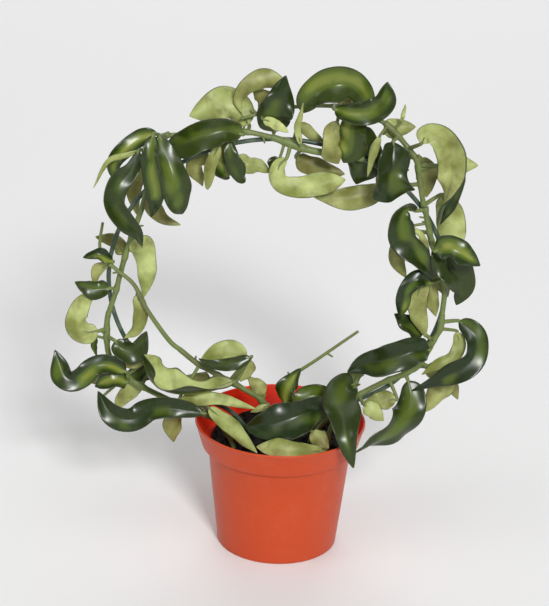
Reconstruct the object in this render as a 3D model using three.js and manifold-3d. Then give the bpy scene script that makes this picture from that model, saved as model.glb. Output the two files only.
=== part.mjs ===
// A climbing hoya trained round a wire hoop in a plastic nursery pot.
// Millimetres, +Z up, front towards -Y. The origin is the middle of the pot's base, on the ground.
import * as THREE from 'three';
import { mergeVertices } from 'three/addons/utils/BufferGeometryUtils.js';
import Module from 'manifold-3d';

const wasm = await Module();
wasm.setup();

// Pot: a 12 cm nursery pot with a flared collar and holes in its base to drain.
const POT_HEIGHT = 93;
const RIM_RADIUS = 60;
const RIM_LIP = 0.7;
const COLLAR_HEIGHT = 20;
const COLLAR_FOOT_RADIUS = 55.4;
const COLLAR_ROUND = 4;
const NECK_RADIUS = 50.5;
const BASE_RADIUS = 42.5;
const BASE_ROUND = 1.5;
const WALL = 1.3;
const BASE_THICKNESS = 2;
const DRAIN_COUNT = 6;
const DRAIN_RADIUS = 4;
const DRAIN_CIRCLE = 27;
const POT_SEGMENTS = 36;

// Soil: it fills the pot to below the rim, a hair clear of the wall.
const SOIL_TOP = 79;
const SOIL_CROWN = 2;
const GAP = 0.35;

// Hoop: one length of coated wire, bent to an upright oval with both ends pushed into the soil.
const WIRE_RADIUS = 1.6;
const HOOP_CENTRE = -5.3;
const HOOP_MIDDLE = 196.6;
const HOOP_HALF_WIDTH = 116;
const HOOP_HALF_HEIGHT = 103.6;
const HOOP_OPEN = 37;
const WIRE_FOOT = 45;
const WIRE_STEPS = 44;
const WIRE_SIDES = 8;

// Leaves: thick folded blades, each on a short stalk.
const LEAF_THICKNESS = 1.3;
const BELLY = 0.35;
const POINT = 0.9;
const TIP_WIDTH = 0.03;
const WAVE_DEPTH = 0.2;
const WAVES = 1.6;
const WAVE_STAGGER = 1.9;
const WIDE = 18;
const STALK_RADIUS = 1.1;
const STEM_SIDES = 5;
const STALK_SIDES = 3;
const STALK_HOLD = 3;
const STEM_STEP = 12;

// Stems and leaves are set out as [across, up, out] along a sight line that falls to the hoop at this angle,
// so a point that stands out from the hoop's plane also stands higher by out * tan(SIGHT).
const SIGHT = THREE.MathUtils.degToRad(22.4);
const TO_FRONT = new THREE.Vector3(0, -Math.cos(SIGHT), Math.sin(SIGHT));

const terracottaPlastic = new THREE.MeshStandardMaterial({ color: '#cd5334', roughness: 0.45, metalness: 0 });
const pottingSoil = new THREE.MeshStandardMaterial({ color: '#1d1815', roughness: 0.95, metalness: 0 });
const coatedWire = new THREE.MeshStandardMaterial({ color: '#465f55', roughness: 0.4, metalness: 0 });
const waxyLeaf = new THREE.MeshStandardMaterial({ color: '#4a6a2c', roughness: 0.35, metalness: 0 });
const greenShoot = new THREE.MeshStandardMaterial({ color: '#7d9048', roughness: 0.5, metalness: 0 });

// The width, the midrib from its stalk to its tip, how the glossy side rolls away from the front (180 shows the
// pale side), how far the margins curl towards the glossy side, the fold at the midrib, and how far along it is
// broadest.
const leaf = (width, midrib, rolls, cup = 0, fold = 0, belly = BELLY) => ({ width, midrib, rolls, cup, fold, belly });

// One entry is one leafy length of vine: its stem's radius and path, and the leaves it carries.
const sprays = {
  vine_left_low: {
    radius: 2,
    path: [
      [-24, 60, 6], [-26, 76, 8], [-46, 92, 10], [-80, 106, 4], [-106, 120, 2], [-119, 135, 4], [-122, 147, 4],
      [-122, 163, 4], [-121.2, 168.6, 4],
    ],
    leaves: [
      leaf(19, [
        [-128, 156, 8], [-136, 155, 10], [-142, 161, 11], [-141, 171, 11], [-135, 180, 11], [-127, 184, 9],
      ], [180], 30),
      leaf(5, [[-130, 151, 4], [-131, 144, 4], [-129, 137, 4]], [0], 20),
      leaf(19, [
        [-108, 126, 14], [-118, 131, 17], [-129, 129, 20], [-139, 121, 22], [-149, 121, 22], [-157, 141, 16],
      ], [0], 30, 0, 0.6),
      leaf(12, [[-122, 122, -8], [-134, 121, -16], [-146, 122, -20]], [180], 30),
      leaf(17, [[-108, 118, 10], [-118, 119, 13], [-130, 114, 11]], [20], 80),
      leaf(20, [
        [-53, 97, 26], [-65, 99, 26], [-78, 100, 26], [-90, 98, 26], [-101, 91, 28], [-110, 91, 29],
        [-119, 97, 26], [-127, 111, 20],
      ], [0], 20, 0, 0.6),
      leaf(8, [[-126, 104, -2], [-124, 94, -2], [-118, 83, -2]], [180]),
      leaf(16, [[-92, 129, -8], [-101, 122, -6], [-108, 111, -8]], [0], 30),
      leaf(8, [[-96, 134, 7], [-105, 132, 8], [-116, 134, 7]], [180]),
      leaf(13, [[-99, 117, -2], [-106, 111, -4], [-112, 104, -4], [-116, 95, -2]], [180]),
      leaf(19, [[-116, 149, 12], [-110, 143, 13], [-100, 144, 13], [-94, 157, 12]], [0], 40, 0, 0.4),
    ],
  },
  vine_left_mid: {
    radius: 1.9,
    path: [[-121, 169.4, 4], [-116, 186, 5], [-113, 199, 5], [-108, 218, 6], [-101, 240, 4], [-99, 246, 4]],
    leaves: [
      leaf(20, [[-103, 226, 6], [-97, 216, 6], [-95, 200, 4], [-97, 182, 3]], [180], 30, 0, 0.2),
      leaf(11, [[-111, 214, 1], [-118, 223, -7], [-131, 226, -6]], [180], 20),
      leaf(14, [[-120, 188, 8], [-131, 187, 10], [-144, 192, 8]], [0], 30),
    ],
  },
  vine_left_top: {
    radius: 1.8,
    path: [[-99, 246.5, 4], [-95, 262, 5], [-90, 282, 5], [-86, 297, 4], [-82, 300, 4]],
    leaves: [
      leaf(15, [[-88, 300, 2], [-99, 297, 4], [-110, 288, 8], [-117, 276, 8], [-113, 262, 4]], [0, 10, -4], 40),
      leaf(17, [
        [-100, 287, 18], [-104, 274, 23], [-112, 262, 26], [-115, 248, 26], [-108, 236, 25], [-100, 228, 23],
        [-97, 219, 20],
      ], [0], -30, -30, 0.55),
      leaf(15, [
        [-90, 298, 27], [-92, 286, 32], [-90, 270, 35], [-88, 254, 33], [-91, 240, 28],
      ], [25], 0, -30, 0.5),
      leaf(21, [
        [-86, 297, 26], [-81, 283, 28], [-76, 268, 29], [-73, 255, 28], [-70, 243, 24],
      ], [-15], 10, -20, 0.68),
      leaf(13, [[-92, 266, 9], [-91, 252, 9], [-84, 241, 8], [-72, 236, 8]], [160], 20),
      leaf(16, [[-98, 284, -6], [-104, 270, -16], [-106, 256, -20], [-103, 243, -16]], [180], 30),
      leaf(4, [[-98, 288, 14], [-110, 284, 16], [-121, 279, 16], [-131, 260, 12]], [180]),
    ],
  },
  vine_top_left: {
    radius: 1.8,
    path: [[-80.5, 300, 4], [-60, 301, 3], [-45, 303, 3], [-29, 304, 4], [-13, 301, 5]],
    leaves: [
      leaf(26, [
        [-32, 302, 8], [-44, 304, 11], [-56, 301, 13], [-70, 295, 13], [-83, 291, 11],
      ], [-10], 60, 0, 0.65),
      leaf(27, [[-28, 310, -7], [-38, 322, -9], [-52, 322, -9], [-68, 315, -8]], [180], 30, 0, 0.5),
      leaf(13, [[-56, 288, -6], [-63, 280, -6], [-58, 265, -5]], [170], 30),
      leaf(9, [[-47, 294, 10], [-52, 280, 13], [-54, 265, 12], [-54, 262, 6]], [180], 30),
      leaf(14, [[-45, 293, 3], [-47, 282, 4], [-42, 273, 2], [-41, 273, -4]], [0], 40),
      leaf(12, [[-41, 299, 9], [-38, 285, 12], [-32, 272, 11], [-29, 271, 5]], [0], -30, 0, 0.6),
      leaf(13, [[-36, 286, 4], [-28, 281, 4], [-20, 280, 4], [-12, 276, 4]], [180], 30),
      leaf(13, [[-38, 299, -8], [-50, 297, -17], [-64, 294, -20]], [180], 30),
    ],
  },
  vine_over_top: {
    radius: 1.5,
    path: [[63.3, 313.6, 2], [50, 319, 0], [32, 324.5, -2], [3, 323.4, -3], [-19, 318, -2], [-34, 313.5, -1]],
    leaves: [
      leaf(16, [
        [-3, 331, -12], [-8, 338, -11], [-18, 341, -9], [-29, 337, -7], [-35, 327, -6], [-33, 318, -6],
      ], [0, 20, 40, 120, 160, 175], 20),
      leaf(16, [[-9, 321, -20], [-15, 326, -22], [-20, 332, -22], [-26, 335, -20]], [180]),
      leaf(25, [[-11, 305, 4], [-11, 315, 7], [-8, 328, 8], [-4, 344, 6]], [0], -20, -20, 0.2),
      leaf(8, [[-18, 313, 8], [-9, 309, 12], [-1, 304, 12]], [180]),
      leaf(23, [
        [51, 322, 5], [46, 332, 9], [38, 338, 12], [28, 337, 14], [19, 334, 13], [12, 328, 11], [8, 318, 9],
      ], [0], 40, 0, 0.6),
      leaf(21, [
        [29, 321, 14], [38, 318, 18], [50, 319, 18], [60, 327, 16], [63, 341, 14],
      ], [0, 0, 10], 60, 0, 0.7),
      leaf(10, [[44, 334, 2], [38, 332, 2], [31, 326, 2]], [180]),
      leaf(13, [[42, 324, -8], [36, 332, -16], [24, 334, -20], [12, 331, -18]], [180], 40),
      leaf(15, [[31, 313, 12], [28, 304, 16], [28, 293, 17], [33, 283, 13]], [170], 20, 0, 0.68),
      leaf(22, [[41, 319, 10], [41, 307, 14], [40, 295, 14], [36, 284, 11]], [15], 0, -40, 0.6),
      leaf(24, [[50, 312, -8], [51, 298, -5], [49, 282, -4], [46, 270, -5]], [0], -30, 0, 0.6),
    ],
  },
  vine_top_mid: {
    radius: 2.4,
    path: [[-12.5, 301, 5], [3, 296, 6], [10, 293.5, 6], [20, 291.5, 6], [38, 290, 6], [48, 288, 6]],
    leaves: [
      leaf(18, [
        [-2, 286, 12], [-7, 279, 14], [-5, 269, 16], [6, 266, 16], [20, 268, 16], [38, 272, 14],
      ], [180], 25, 0, 0.75),
      leaf(7, [[-7, 286, 8], [-11, 283, 8], [-13, 277, 8]], [0], 20),
      leaf(5, [[7, 296, 12], [5, 307, 18], [8, 324, 22]], [180], 20),
      leaf(9, [[6, 312, -4], [13, 306, -4], [24, 298, -4]], [180], 20),
      leaf(15, [[5, 288, -4], [14, 283, -5], [25, 280, -5], [38, 277, -4]], [180], 20),
    ],
  },
  vine_right_top: {
    radius: 1.8,
    path: [
      [92.4, 255.6, 5], [91, 260, 5], [88, 275, 5], [86, 287, 5], [78, 298, 4], [70, 307.5, 3], [64, 313, 2],
    ],
    leaves: [
      leaf(18, [[64, 268, 2], [52, 262, 4], [36, 259, 6], [15, 261, 4]], [180], 20),
      leaf(31, [[69, 300, 8], [68, 285, 14], [67, 270, 16], [69, 257, 14]], [0], 20, 50, 0.72),
      leaf(6, [[60, 304, 8], [56, 292, 10], [53, 275, 8]], [180]),
      leaf(23, [
        [87, 299, 17], [91, 305, 19], [100, 301, 21], [106, 290, 23], [108, 277, 24], [107, 262, 22],
        [101, 243, 19],
      ], [180, 180, 185, 205, 240, 262, 270], 0, -70),
      leaf(10, [[114, 284, 18], [112, 268, 19], [108, 254, 18], [103, 242, 15]], [0], 0, 0, 0.3),
      leaf(17, [[103, 285, 2], [112, 286, 2], [127, 286, 2]], [180], 20, 0, 0.25),
      leaf(16, [[88, 290, 0], [93, 278, -2], [94, 262, -2]], [180], -60),
      leaf(22, [[104, 264, -2], [111, 250, -2], [113, 234, -2], [112, 216, -2]], [180], 40, 0, 0.45),
      leaf(15, [[63, 307, -2], [72, 311, -2], [84, 312, -2]], [180], 30),
      leaf(3, [[74, 315, 4], [75, 320, 4], [76, 327, 4]], [180]),
      leaf(19, [[78, 290, -8], [70, 282, -17], [66, 270, -20], [68, 259, -18]], [180], 30),
    ],
  },
  vine_right_mid: {
    radius: 1.9,
    path: [[109, 175, 4], [109, 200, 4], [99, 229, 5], [96, 241, 5], [93.8, 250, 5], [93.2, 253, 5]],
    leaves: [
      leaf(21, [
        [86, 252, 8], [80, 254, 12], [76, 244, 14], [80, 230, 16], [90, 219, 16], [101, 202, 12],
      ], [-60, -20, 0, 0, 0], 40),
      leaf(17, [[87, 237, -2], [79, 228, -1], [77, 215, 0], [83, 203, 0]], [180], 30),
      leaf(5, [[84, 240, 6], [91, 234, 8], [98, 220, 8]], [180]),
      leaf(19, [[100, 223, 22], [110, 225, 26], [120, 220, 27], [131, 213, 26]], [0], 20),
      leaf(24, [[104, 221, 6], [115, 212, 7], [122, 198, 8], [118, 184, 8]], [0], -30),
      leaf(13, [[100, 225, 14], [105, 213, 18], [112, 203, 18], [121, 191, 14]], [-30], 0, -30),
      leaf(14, [[100, 200, 8], [91, 202, 12], [83, 194, 14], [81, 182, 12], [80, 172, 8]], [0], 20),
      leaf(17, [[94, 201, 6], [91, 185, 8], [98, 159, 8]], [180], 20),
      leaf(12, [[98, 200, 2], [101, 189, 2], [105, 175, 2]], [180], 20),
      leaf(16, [[100, 212, -6], [108, 202, -14], [114, 190, -17]], [180], 30),
    ],
  },
  vine_right_low: {
    radius: 2,
    path: [
      [20, 60, 8], [22, 78, 8], [34, 96, 8], [52, 112, 6], [71, 124, 4], [89, 133, 4], [98, 143, 4],
      [103, 155, 4], [108, 165, 4], [109, 174.5, 4],
    ],
    leaves: [
      leaf(18, [[97, 162, 2], [86, 168, 3], [76, 176, 4]], [20], 30),
      leaf(27, [
        [101, 150, 12], [91, 149, 19], [79, 144, 22], [68, 140, 22], [57, 138, 20], [45, 131, 18],
      ], [0], 0, 40, 0.45),
      leaf(20, [
        [121, 172, 0], [127, 168, 2], [133, 160, 5], [133, 149, 8], [129, 141, 11], [119, 134, 13],
        [108, 128, 14], [91, 119, 13],
      ], [0, -10, -20, -30], 20),
      leaf(11, [[120, 164, 0], [122, 155, 2], [118, 145, 6], [107, 138, 8], [97, 131, 8]], [180]),
      leaf(24, [
        [88, 126, 6], [91, 114, 12], [88, 100, 22], [78, 88, 30], [64, 79, 38], [51, 71, 44],
      ], [0, 0, -30, -70, -90], 0, -50),
      leaf(13, [[58, 107, 16], [65, 102, 18], [72, 95, 16]], [180], 20),
      leaf(14, [[80, 112, 10], [70, 110, 11], [56, 107, 8]], [180], 20),
      leaf(15, [[101, 136, -10], [111, 131, -12], [120, 122, -12], [125, 112, -10]], [180], 20),
      leaf(15, [[119, 128, -4], [112, 119, -4], [106, 110, -4], [100, 101, -4]], [180], 20),
      leaf(15, [[88, 142, 2], [76, 141, -6], [62, 138, -10], [50, 135, -8]], [180], 30),
    ],
  },
  shoot_front: {
    radius: 1.8,
    path: [[30, 60, 26], [32, 74, 26], [36, 90, 18], [48, 112, 10], [54, 130, 6]],
    leaves: [
      leaf(25, [
        [50, 122, 11], [44, 121, 18], [41, 111, 30], [43, 99, 40], [46, 82, 52], [51, 61, 57],
      ], [0], -10, -20),
      leaf(29, [[34, 104, 18], [22, 102, 29], [6, 95, 36], [-10, 90, 38], [-24, 88, 34]], [0], 30, 0, 0.58),
      leaf(19, [[34, 108, 8], [25, 113, 11], [11, 108, 14], [5, 105, 12]], [0], -30),
      leaf(16, [[30, 72, 42], [16, 72, 48], [0, 73, 50], [-16, 74, 46]], [180], 0, 0, 0.6),
      leaf(13, [[22, 86, 34], [28, 80, 38], [34, 74, 40]], [180]),
      leaf(8, [[56, 129, 0], [50, 128, 3], [44, 121, 4]], [180]),
    ],
  },
  shoot_centre: {
    radius: 1.3,
    path: [[3, 60, 8], [3, 84, 8], [2, 106, 8], [4, 118, 2], [9.5, 128, 0], [24, 139.5, 0], [52, 162, 0]],
    leaves: [
      leaf(16, [[3, 107, 12], [5, 119, 14], [13, 133, 12]], [-20], 30),
    ],
  },
  young_vine_low: {
    radius: 1.9,
    path: [
      [-4, 60, -4], [-6, 82, 0], [-12, 105, 6], [-27, 116, 8], [-45, 126, 8], [-59, 134, 8], [-70, 143, 8],
    ],
    leaves: [
      leaf(34, [
        [-33, 121, 21], [-50, 114, 24], [-68, 111, 25], [-82, 114, 24], [-92, 124, 21], [-96, 140, 19],
      ], [-114], -30, -80, 0.88),
      leaf(18, [[-26, 138, 12], [-33, 143, 13], [-45, 143, 13], [-56, 138, 12]], [180], 30),
      leaf(10, [[-22, 140, 17], [-34, 135, 20], [-48, 134, 20], [-58, 138, 17]], [0], 20),
      leaf(12, [[-23, 138, 2], [-25, 130, 3], [-29, 121, 3]], [180]),
      leaf(10, [[-70, 107, 20], [-60, 107, 22], [-44, 108, 22], [-30, 105, 20], [-17, 101, 18]], [180]),
      leaf(11, [[-12, 112, 2], [-17, 118, 2], [-24, 125, 2]], [180]),
      leaf(5, [[-9, 104, 11], [-15, 101, 13], [-21, 98, 13]], [180]),
      leaf(14, [[-50, 122, -6], [-64, 118, -15], [-80, 118, -19]], [180], 30),
    ],
  },
  shoot_left: {
    radius: 1.6,
    path: [[-30, 60, 20], [-34, 76, 20], [-50, 98, 16], [-62, 103, 10]],
    leaves: [
      leaf(18, [[-62, 102, 14], [-70, 97, 16], [-74, 88, 16], [-74, 73, 14]], [150]),
      leaf(12, [[-50, 101, 22], [-40, 93, 28], [-28, 82, 36], [-15, 69, 46]], [180], 20),
    ],
  },
  young_vine_tip: {
    radius: 1.7,
    path: [
      [-70.4, 143.4, 8], [-79, 151, 8], [-94, 173, 10], [-103, 191, 10], [-114, 201, 10], [-124, 210, 8],
      [-127, 220, 6], [-125, 236, 6],
    ],
    leaves: [
      leaf(10, [[-118, 208, 10], [-127, 212, 12], [-138, 210, 12]], [20], 50),
      leaf(9, [[-122, 206, 6], [-128, 200, 6], [-131, 190, 4]], [150], 40),
      leaf(12, [[-101, 184, 8], [-99, 172, 7], [-102, 158, 7], [-110, 151, 7]], [180], 30),
    ],
  },
};

const place = ([across, up, out]) => new THREE.Vector3(across, -out, up + out * Math.tan(SIGHT));
const curveThrough = (points) => new THREE.CatmullRomCurve3(points, false, 'catmullrom', 0.5);

function toSolid(geometry) {
  geometry.deleteAttribute('normal');
  geometry.deleteAttribute('uv');
  const merged = mergeVertices(geometry, 1e-4);
  const corners = Array.from(merged.index.array);
  const whole = corners.filter((_, k) => {
    const [a, b, c] = corners.slice(k - (k % 3), k - (k % 3) + 3);
    return a !== b && b !== c && c !== a;
  });
  return new wasm.Manifold(new wasm.Mesh({
    numProp: 3,
    vertProperties: new Float32Array(merged.attributes.position.array),
    triVerts: new Uint32Array(whole),
  }));
}

function toMesh(name, solid, material) {
  const { vertProperties, triVerts } = solid.getMesh();
  const geometry = new THREE.BufferGeometry();
  geometry.setAttribute('position', new THREE.BufferAttribute(vertProperties, 3));
  geometry.setIndex(new THREE.BufferAttribute(triVerts, 1));
  geometry.computeVertexNormals();
  const mesh = new THREE.Mesh(geometry, material);
  mesh.name = name;
  return mesh;
}

function tube(curve, radius, steps, sides) {
  const section = new THREE.Shape();
  for (let k = 0; k < sides; k += 1) {
    const turn = (2 * Math.PI * k) / sides;
    const move = k === 0 ? 'moveTo' : 'lineTo';
    section[move](radius * Math.cos(turn), radius * Math.sin(turn));
  }
  section.closePath();
  return toSolid(new THREE.ExtrudeGeometry(section, { steps, extrudePath: curve }));
}

// A profile of [radius, height] pairs turned round the upright axis.
function turned(profile) {
  const points = profile.map(([radius, height]) => new THREE.Vector2(radius, height));
  return toSolid(new THREE.LatheGeometry(points, POT_SEGMENTS).rotateX(Math.PI / 2));
}

// The wall's profile runs up its outside and back down its inside.
function potProfile() {
  const crease = POT_HEIGHT - COLLAR_HEIGHT;
  const bowl = new THREE.Vector2(COLLAR_FOOT_RADIUS, crease + COLLAR_ROUND);
  return [
    [0, 0],
    [BASE_RADIUS - BASE_ROUND, 0],
    [BASE_RADIUS, BASE_ROUND],
    [NECK_RADIUS, crease],
    [(NECK_RADIUS + bowl.x * 2) / 3, crease + COLLAR_ROUND * 0.3],
    [bowl.x, bowl.y],
    [RIM_RADIUS, POT_HEIGHT - RIM_LIP],
    [RIM_RADIUS - WALL / 2, POT_HEIGHT],
    [RIM_RADIUS - WALL, POT_HEIGHT - RIM_LIP],
    [bowl.x - WALL, bowl.y + RIM_LIP],
    [NECK_RADIUS - WALL, crease + RIM_LIP],
    [BASE_RADIUS - WALL, BASE_THICKNESS],
    [0, BASE_THICKNESS],
  ];
}

function makePot() {
  let pot = turned(potProfile());
  for (let k = 0; k < DRAIN_COUNT; k += 1) {
    const turn = (2 * Math.PI * (k + 0.5)) / DRAIN_COUNT;
    const drill = new THREE.CylinderGeometry(DRAIN_RADIUS, DRAIN_RADIUS, 3 * BASE_THICKNESS, 8);
    drill.rotateX(Math.PI / 2);
    drill.translate(DRAIN_CIRCLE * Math.cos(turn), DRAIN_CIRCLE * Math.sin(turn), 0);
    pot = pot.subtract(toSolid(drill));
  }
  return pot;
}

const makeHoop = () => tube(curveThrough(hoopPath()), WIRE_RADIUS, WIRE_STEPS, WIRE_SIDES);

// The oval runs from one foot, over the top, to the other, and each foot bends down into the soil.
function hoopPath() {
  const path = [[-22, WIRE_FOOT, 0], [-22, 66, 0], [-24, 84, 0], [-37, 99, 0], [-62, 109, 0]];
  for (let turn = 270 - HOOP_OPEN; turn >= HOOP_OPEN - 90; turn -= 10) {
    const angle = THREE.MathUtils.degToRad(turn);
    const across = HOOP_CENTRE + HOOP_HALF_WIDTH * Math.cos(angle);
    path.push([across, HOOP_MIDDLE + HOOP_HALF_HEIGHT * Math.sin(angle), 0]);
  }
  path.push([50, 108, 0], [27, 99, 0], [15, 84, 0], [13, 66, 0], [13, WIRE_FOOT, 0]);
  return path.map(place);
}

const stemCurve = (spray) => curveThrough(spray.path.map(place));
const stepsAlong = (stem) => Math.ceil(stem.getLength() / STEM_STEP);
const makeStem = (spray) => tube(stemCurve(spray), spray.radius, stepsAlong(stemCurve(spray)), STEM_SIDES);

// A hole for what stands in the soil: the same run, wider all round and a little deeper.
function holeFor(curve, radius, steps, sides) {
  const foot = curve.getPoint(0);
  const deeper = foot.clone().sub(new THREE.Vector3(0, 0, 2 * GAP));
  const well = new THREE.LineCurve3(deeper, foot.clone().add(new THREE.Vector3(0, 0, 1)));
  return tube(curve, radius + GAP, steps, sides).add(tube(well, radius + 2 * GAP, 1, sides));
}

// How wide the blade is along its length, from a rounded shoulder past its belly to the tip.
function outline(t, belly) {
  const swell = t < belly
    ? Math.sqrt(1 - (1 - t / belly) ** 2)
    : Math.sin((Math.PI / 2) * ((1 - t) / (1 - belly))) ** POINT;
  return TIP_WIDTH + (1 - TIP_WIDTH) * swell;
}

// The roll eases from each value to the next, spread evenly along the blade.
function rollAt(rolls, t) {
  if (rolls.length === 1) return THREE.MathUtils.degToRad(rolls[0]);
  const seat = t * (rolls.length - 1);
  const k = Math.min(Math.floor(seat), rolls.length - 2);
  const ease = THREE.MathUtils.smoothstep(seat - k, 0, 1);
  return THREE.MathUtils.degToRad(THREE.MathUtils.lerp(rolls[k], rolls[k + 1], ease));
}

// Where the blade's section lies, one unit wide to a side: folded at the midrib, then curled on a round arc.
function section(side, fold, cup) {
  const reach = Math.abs(side);
  if (Math.abs(cup) < 1e-3) return [side * Math.cos(fold), reach * Math.sin(fold)];
  const end = fold + cup * reach;
  const across = (Math.sin(end) - Math.sin(fold)) / cup;
  return [Math.sign(side) * across, (Math.cos(fold) - Math.cos(end)) / cup];
}

// One row of points across the blade, at t along its midrib.
function bladeRow(spec, curve, t, sides) {
  const centre = curve.getPointAt(t);
  const along = curve.getTangentAt(t);
  const facing = TO_FRONT.clone().addScaledVector(along, -TO_FRONT.dot(along)).normalize();
  const roll = rollAt(spec.rolls, t);
  const glossy = facing.clone().multiplyScalar(Math.cos(roll));
  glossy.addScaledVector(along.clone().cross(facing), Math.sin(roll));
  const edgeward = along.clone().cross(glossy);
  const bend = bendAt(curve, t).dot(edgeward);
  const half = (spec.width / 2) * outline(t, spec.belly);
  const open = Math.min(1, t / 0.15);
  const fold = THREE.MathUtils.degToRad(spec.fold / 2) * open;
  const cup = THREE.MathUtils.degToRad(spec.cup / 2) * open;
  return Array.from({ length: sides + 1 }, (_, k) => {
    const [across, rise] = section((2 * k) / sides - 1, fold, cup);
    const offset = tuck(across * half, bend);
    const lift = (rise + ripple(across, t, spec.midrib[0][0]) * open) * half;
    return centre.clone().addScaledVector(edgeward, offset).addScaledVector(glossy, lift);
  });
}

// The margins wave up and down along the blade, one out of step with the other and each leaf from its own start.
function ripple(across, t, start) {
  const stagger = across > 0 ? WAVE_STAGGER : 0;
  return WAVE_DEPTH * across ** 2 * Math.sin(2 * Math.PI * WAVES * t + start + stagger);
}

// How sharply the midrib bends, as a vector towards the inside of the bend.
function bendAt(curve, t) {
  const before = curve.getTangentAt(Math.max(0, t - 0.1));
  const after = curve.getTangentAt(Math.min(1, t + 0.1));
  const stretch = (Math.min(1, t + 0.1) - Math.max(0, t - 0.1)) * curve.getLength();
  return after.sub(before).divideScalar(stretch);
}

// The margin on the inside of a bend draws in, so that it never passes the middle of the bend.
const tuck = (offset, bend) => (bend * offset > 0 ? (1 - Math.exp(-bend * offset)) / bend : offset);

// The blade's two faces are split into triangles alike, half a thickness to each side of the same grid.
function blade(spec) {
  const curve = curveThrough(spec.midrib.map(place));
  const rows = spec.midrib.length + (spec.width > WIDE ? 2 : 0);
  const sides = spec.width > WIDE ? 4 : 2;
  const grid = Array.from({ length: rows + 1 }, (_, k) => bladeRow(spec, curve, k / rows, sides));
  const at = (i, k) => grid[THREE.MathUtils.clamp(i, 0, rows)][THREE.MathUtils.clamp(k, 0, sides)];
  const positions = [];
  for (const face of [1, -1]) {
    for (let i = 0; i <= rows; i += 1) {
      for (let k = 0; k <= sides; k += 1) {
        const lengthways = at(i + 1, k).clone().sub(at(i - 1, k));
        const crossways = at(i, k + 1).clone().sub(at(i, k - 1));
        const normal = lengthways.cross(crossways).normalize().negate();
        positions.push(...at(i, k).clone().addScaledVector(normal, (face * LEAF_THICKNESS) / 2));
      }
    }
  }
  const geometry = new THREE.BufferGeometry();
  geometry.setAttribute('position', new THREE.Float32BufferAttribute(positions, 3));
  geometry.setIndex(bladeFaces(rows, sides));
  return toSolid(geometry);
}

function bladeFaces(rows, sides) {
  const under = (rows + 1) * (sides + 1);
  const top = (i, k) => i * (sides + 1) + k;
  const faces = [];
  for (let i = 0; i < rows; i += 1) {
    for (let k = 0; k < sides; k += 1) {
      const [a, b, c, d] = [top(i, k), top(i, k + 1), top(i + 1, k + 1), top(i + 1, k)];
      faces.push(a, b, c, a, c, d);
      faces.push(under + a, under + c, under + b, under + a, under + d, under + c);
    }
  }
  const rim = [];
  for (let k = 0; k < sides; k += 1) rim.push(top(0, k));
  for (let i = 0; i < rows; i += 1) rim.push(top(i, sides));
  for (let k = sides; k > 0; k -= 1) rim.push(top(rows, k));
  for (let i = rows; i > 0; i -= 1) rim.push(top(i, 0));
  rim.forEach((a, k) => {
    const b = rim[(k + 1) % rim.length];
    faces.push(a, under + a, under + b, a, under + b, b);
  });
  return faces;
}

// The stalk runs straight from the nearest place on the stem to a little way inside the blade.
function stalk(spec, stem) {
  const [base, next] = spec.midrib.map(place);
  const spots = stem.getSpacedPoints(stepsAlong(stem));
  const lengths = spots.slice(1).map((spot, k) => new THREE.Line3(spots[k], spot));
  const roots = lengths.map((length) => length.closestPointToPoint(base, true, new THREE.Vector3()));
  const root = roots.reduce((best, spot) => (spot.distanceTo(base) < best.distanceTo(base) ? spot : best));
  const inside = base.clone().addScaledVector(next.clone().sub(base).normalize(), STALK_HOLD);
  return tube(new THREE.LineCurve3(root, inside), STALK_RADIUS, 1, STALK_SIDES);
}

const largest = (solid) => solid.decompose().reduce((a, b) => (a.volume() > b.volume() ? a : b));

function makeSpray(spray) {
  const stem = stemCurve(spray);
  let solid = makeStem(spray);
  for (const spec of spray.leaves) solid = solid.add(stalk(spec, stem)).add(blade(spec));
  return largest(solid);
}

// The soil fills the pot, with a plain hole round each stem and each foot of the hoop.
function makeSoil() {
  const lean = (NECK_RADIUS - BASE_RADIUS) / (POT_HEIGHT - COLLAR_HEIGHT);
  const bottom = BASE_THICKNESS + GAP;
  const fit = (height) => BASE_RADIUS + lean * height - WALL - GAP;
  const crease = POT_HEIGHT - COLLAR_HEIGHT;
  let soil = turned([
    [0, bottom],
    [fit(bottom) - 0.5, bottom],
    [fit(crease) - 0.5, crease],
    [fit(crease) - 0.5, SOIL_TOP - 2],
    [fit(crease) - 4, SOIL_TOP],
    [0, SOIL_TOP + SOIL_CROWN],
  ]);
  const wire = hoopPath();
  soil = soil.subtract(holeFor(curveThrough(wire), WIRE_RADIUS, WIRE_STEPS, WIRE_SIDES));
  soil = soil.subtract(holeFor(curveThrough(wire.toReversed()), WIRE_RADIUS, WIRE_STEPS, WIRE_SIDES));
  for (const spray of Object.values(sprays)) {
    if (spray.path[0][1] > SOIL_TOP) continue;
    const stem = stemCurve(spray);
    soil = soil.subtract(holeFor(stem, spray.radius, stepsAlong(stem), STEM_SIDES));
  }
  return largest(soil);
}

const plant = new THREE.Group();
plant.add(toMesh('pot', makePot(), terracottaPlastic));
plant.add(toMesh('soil', makeSoil(), pottingSoil));
plant.add(toMesh('hoop', makeHoop(), coatedWire));
for (const [name, spray] of Object.entries(sprays)) {
  plant.add(toMesh(name, makeSpray(spray), spray.leaves.length > 0 ? waxyLeaf : greenShoot));
}

export default plant;
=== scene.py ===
# A climbing hoya with thick curled leaves, trained round a wire hoop in a plastic nursery pot.
# Sizes are written in millimetres and turned to metres by MM. +Z is up and the front is towards -Y.
import math
import random

import bmesh
import bpy
from mathutils import Matrix, Vector, noise


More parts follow.
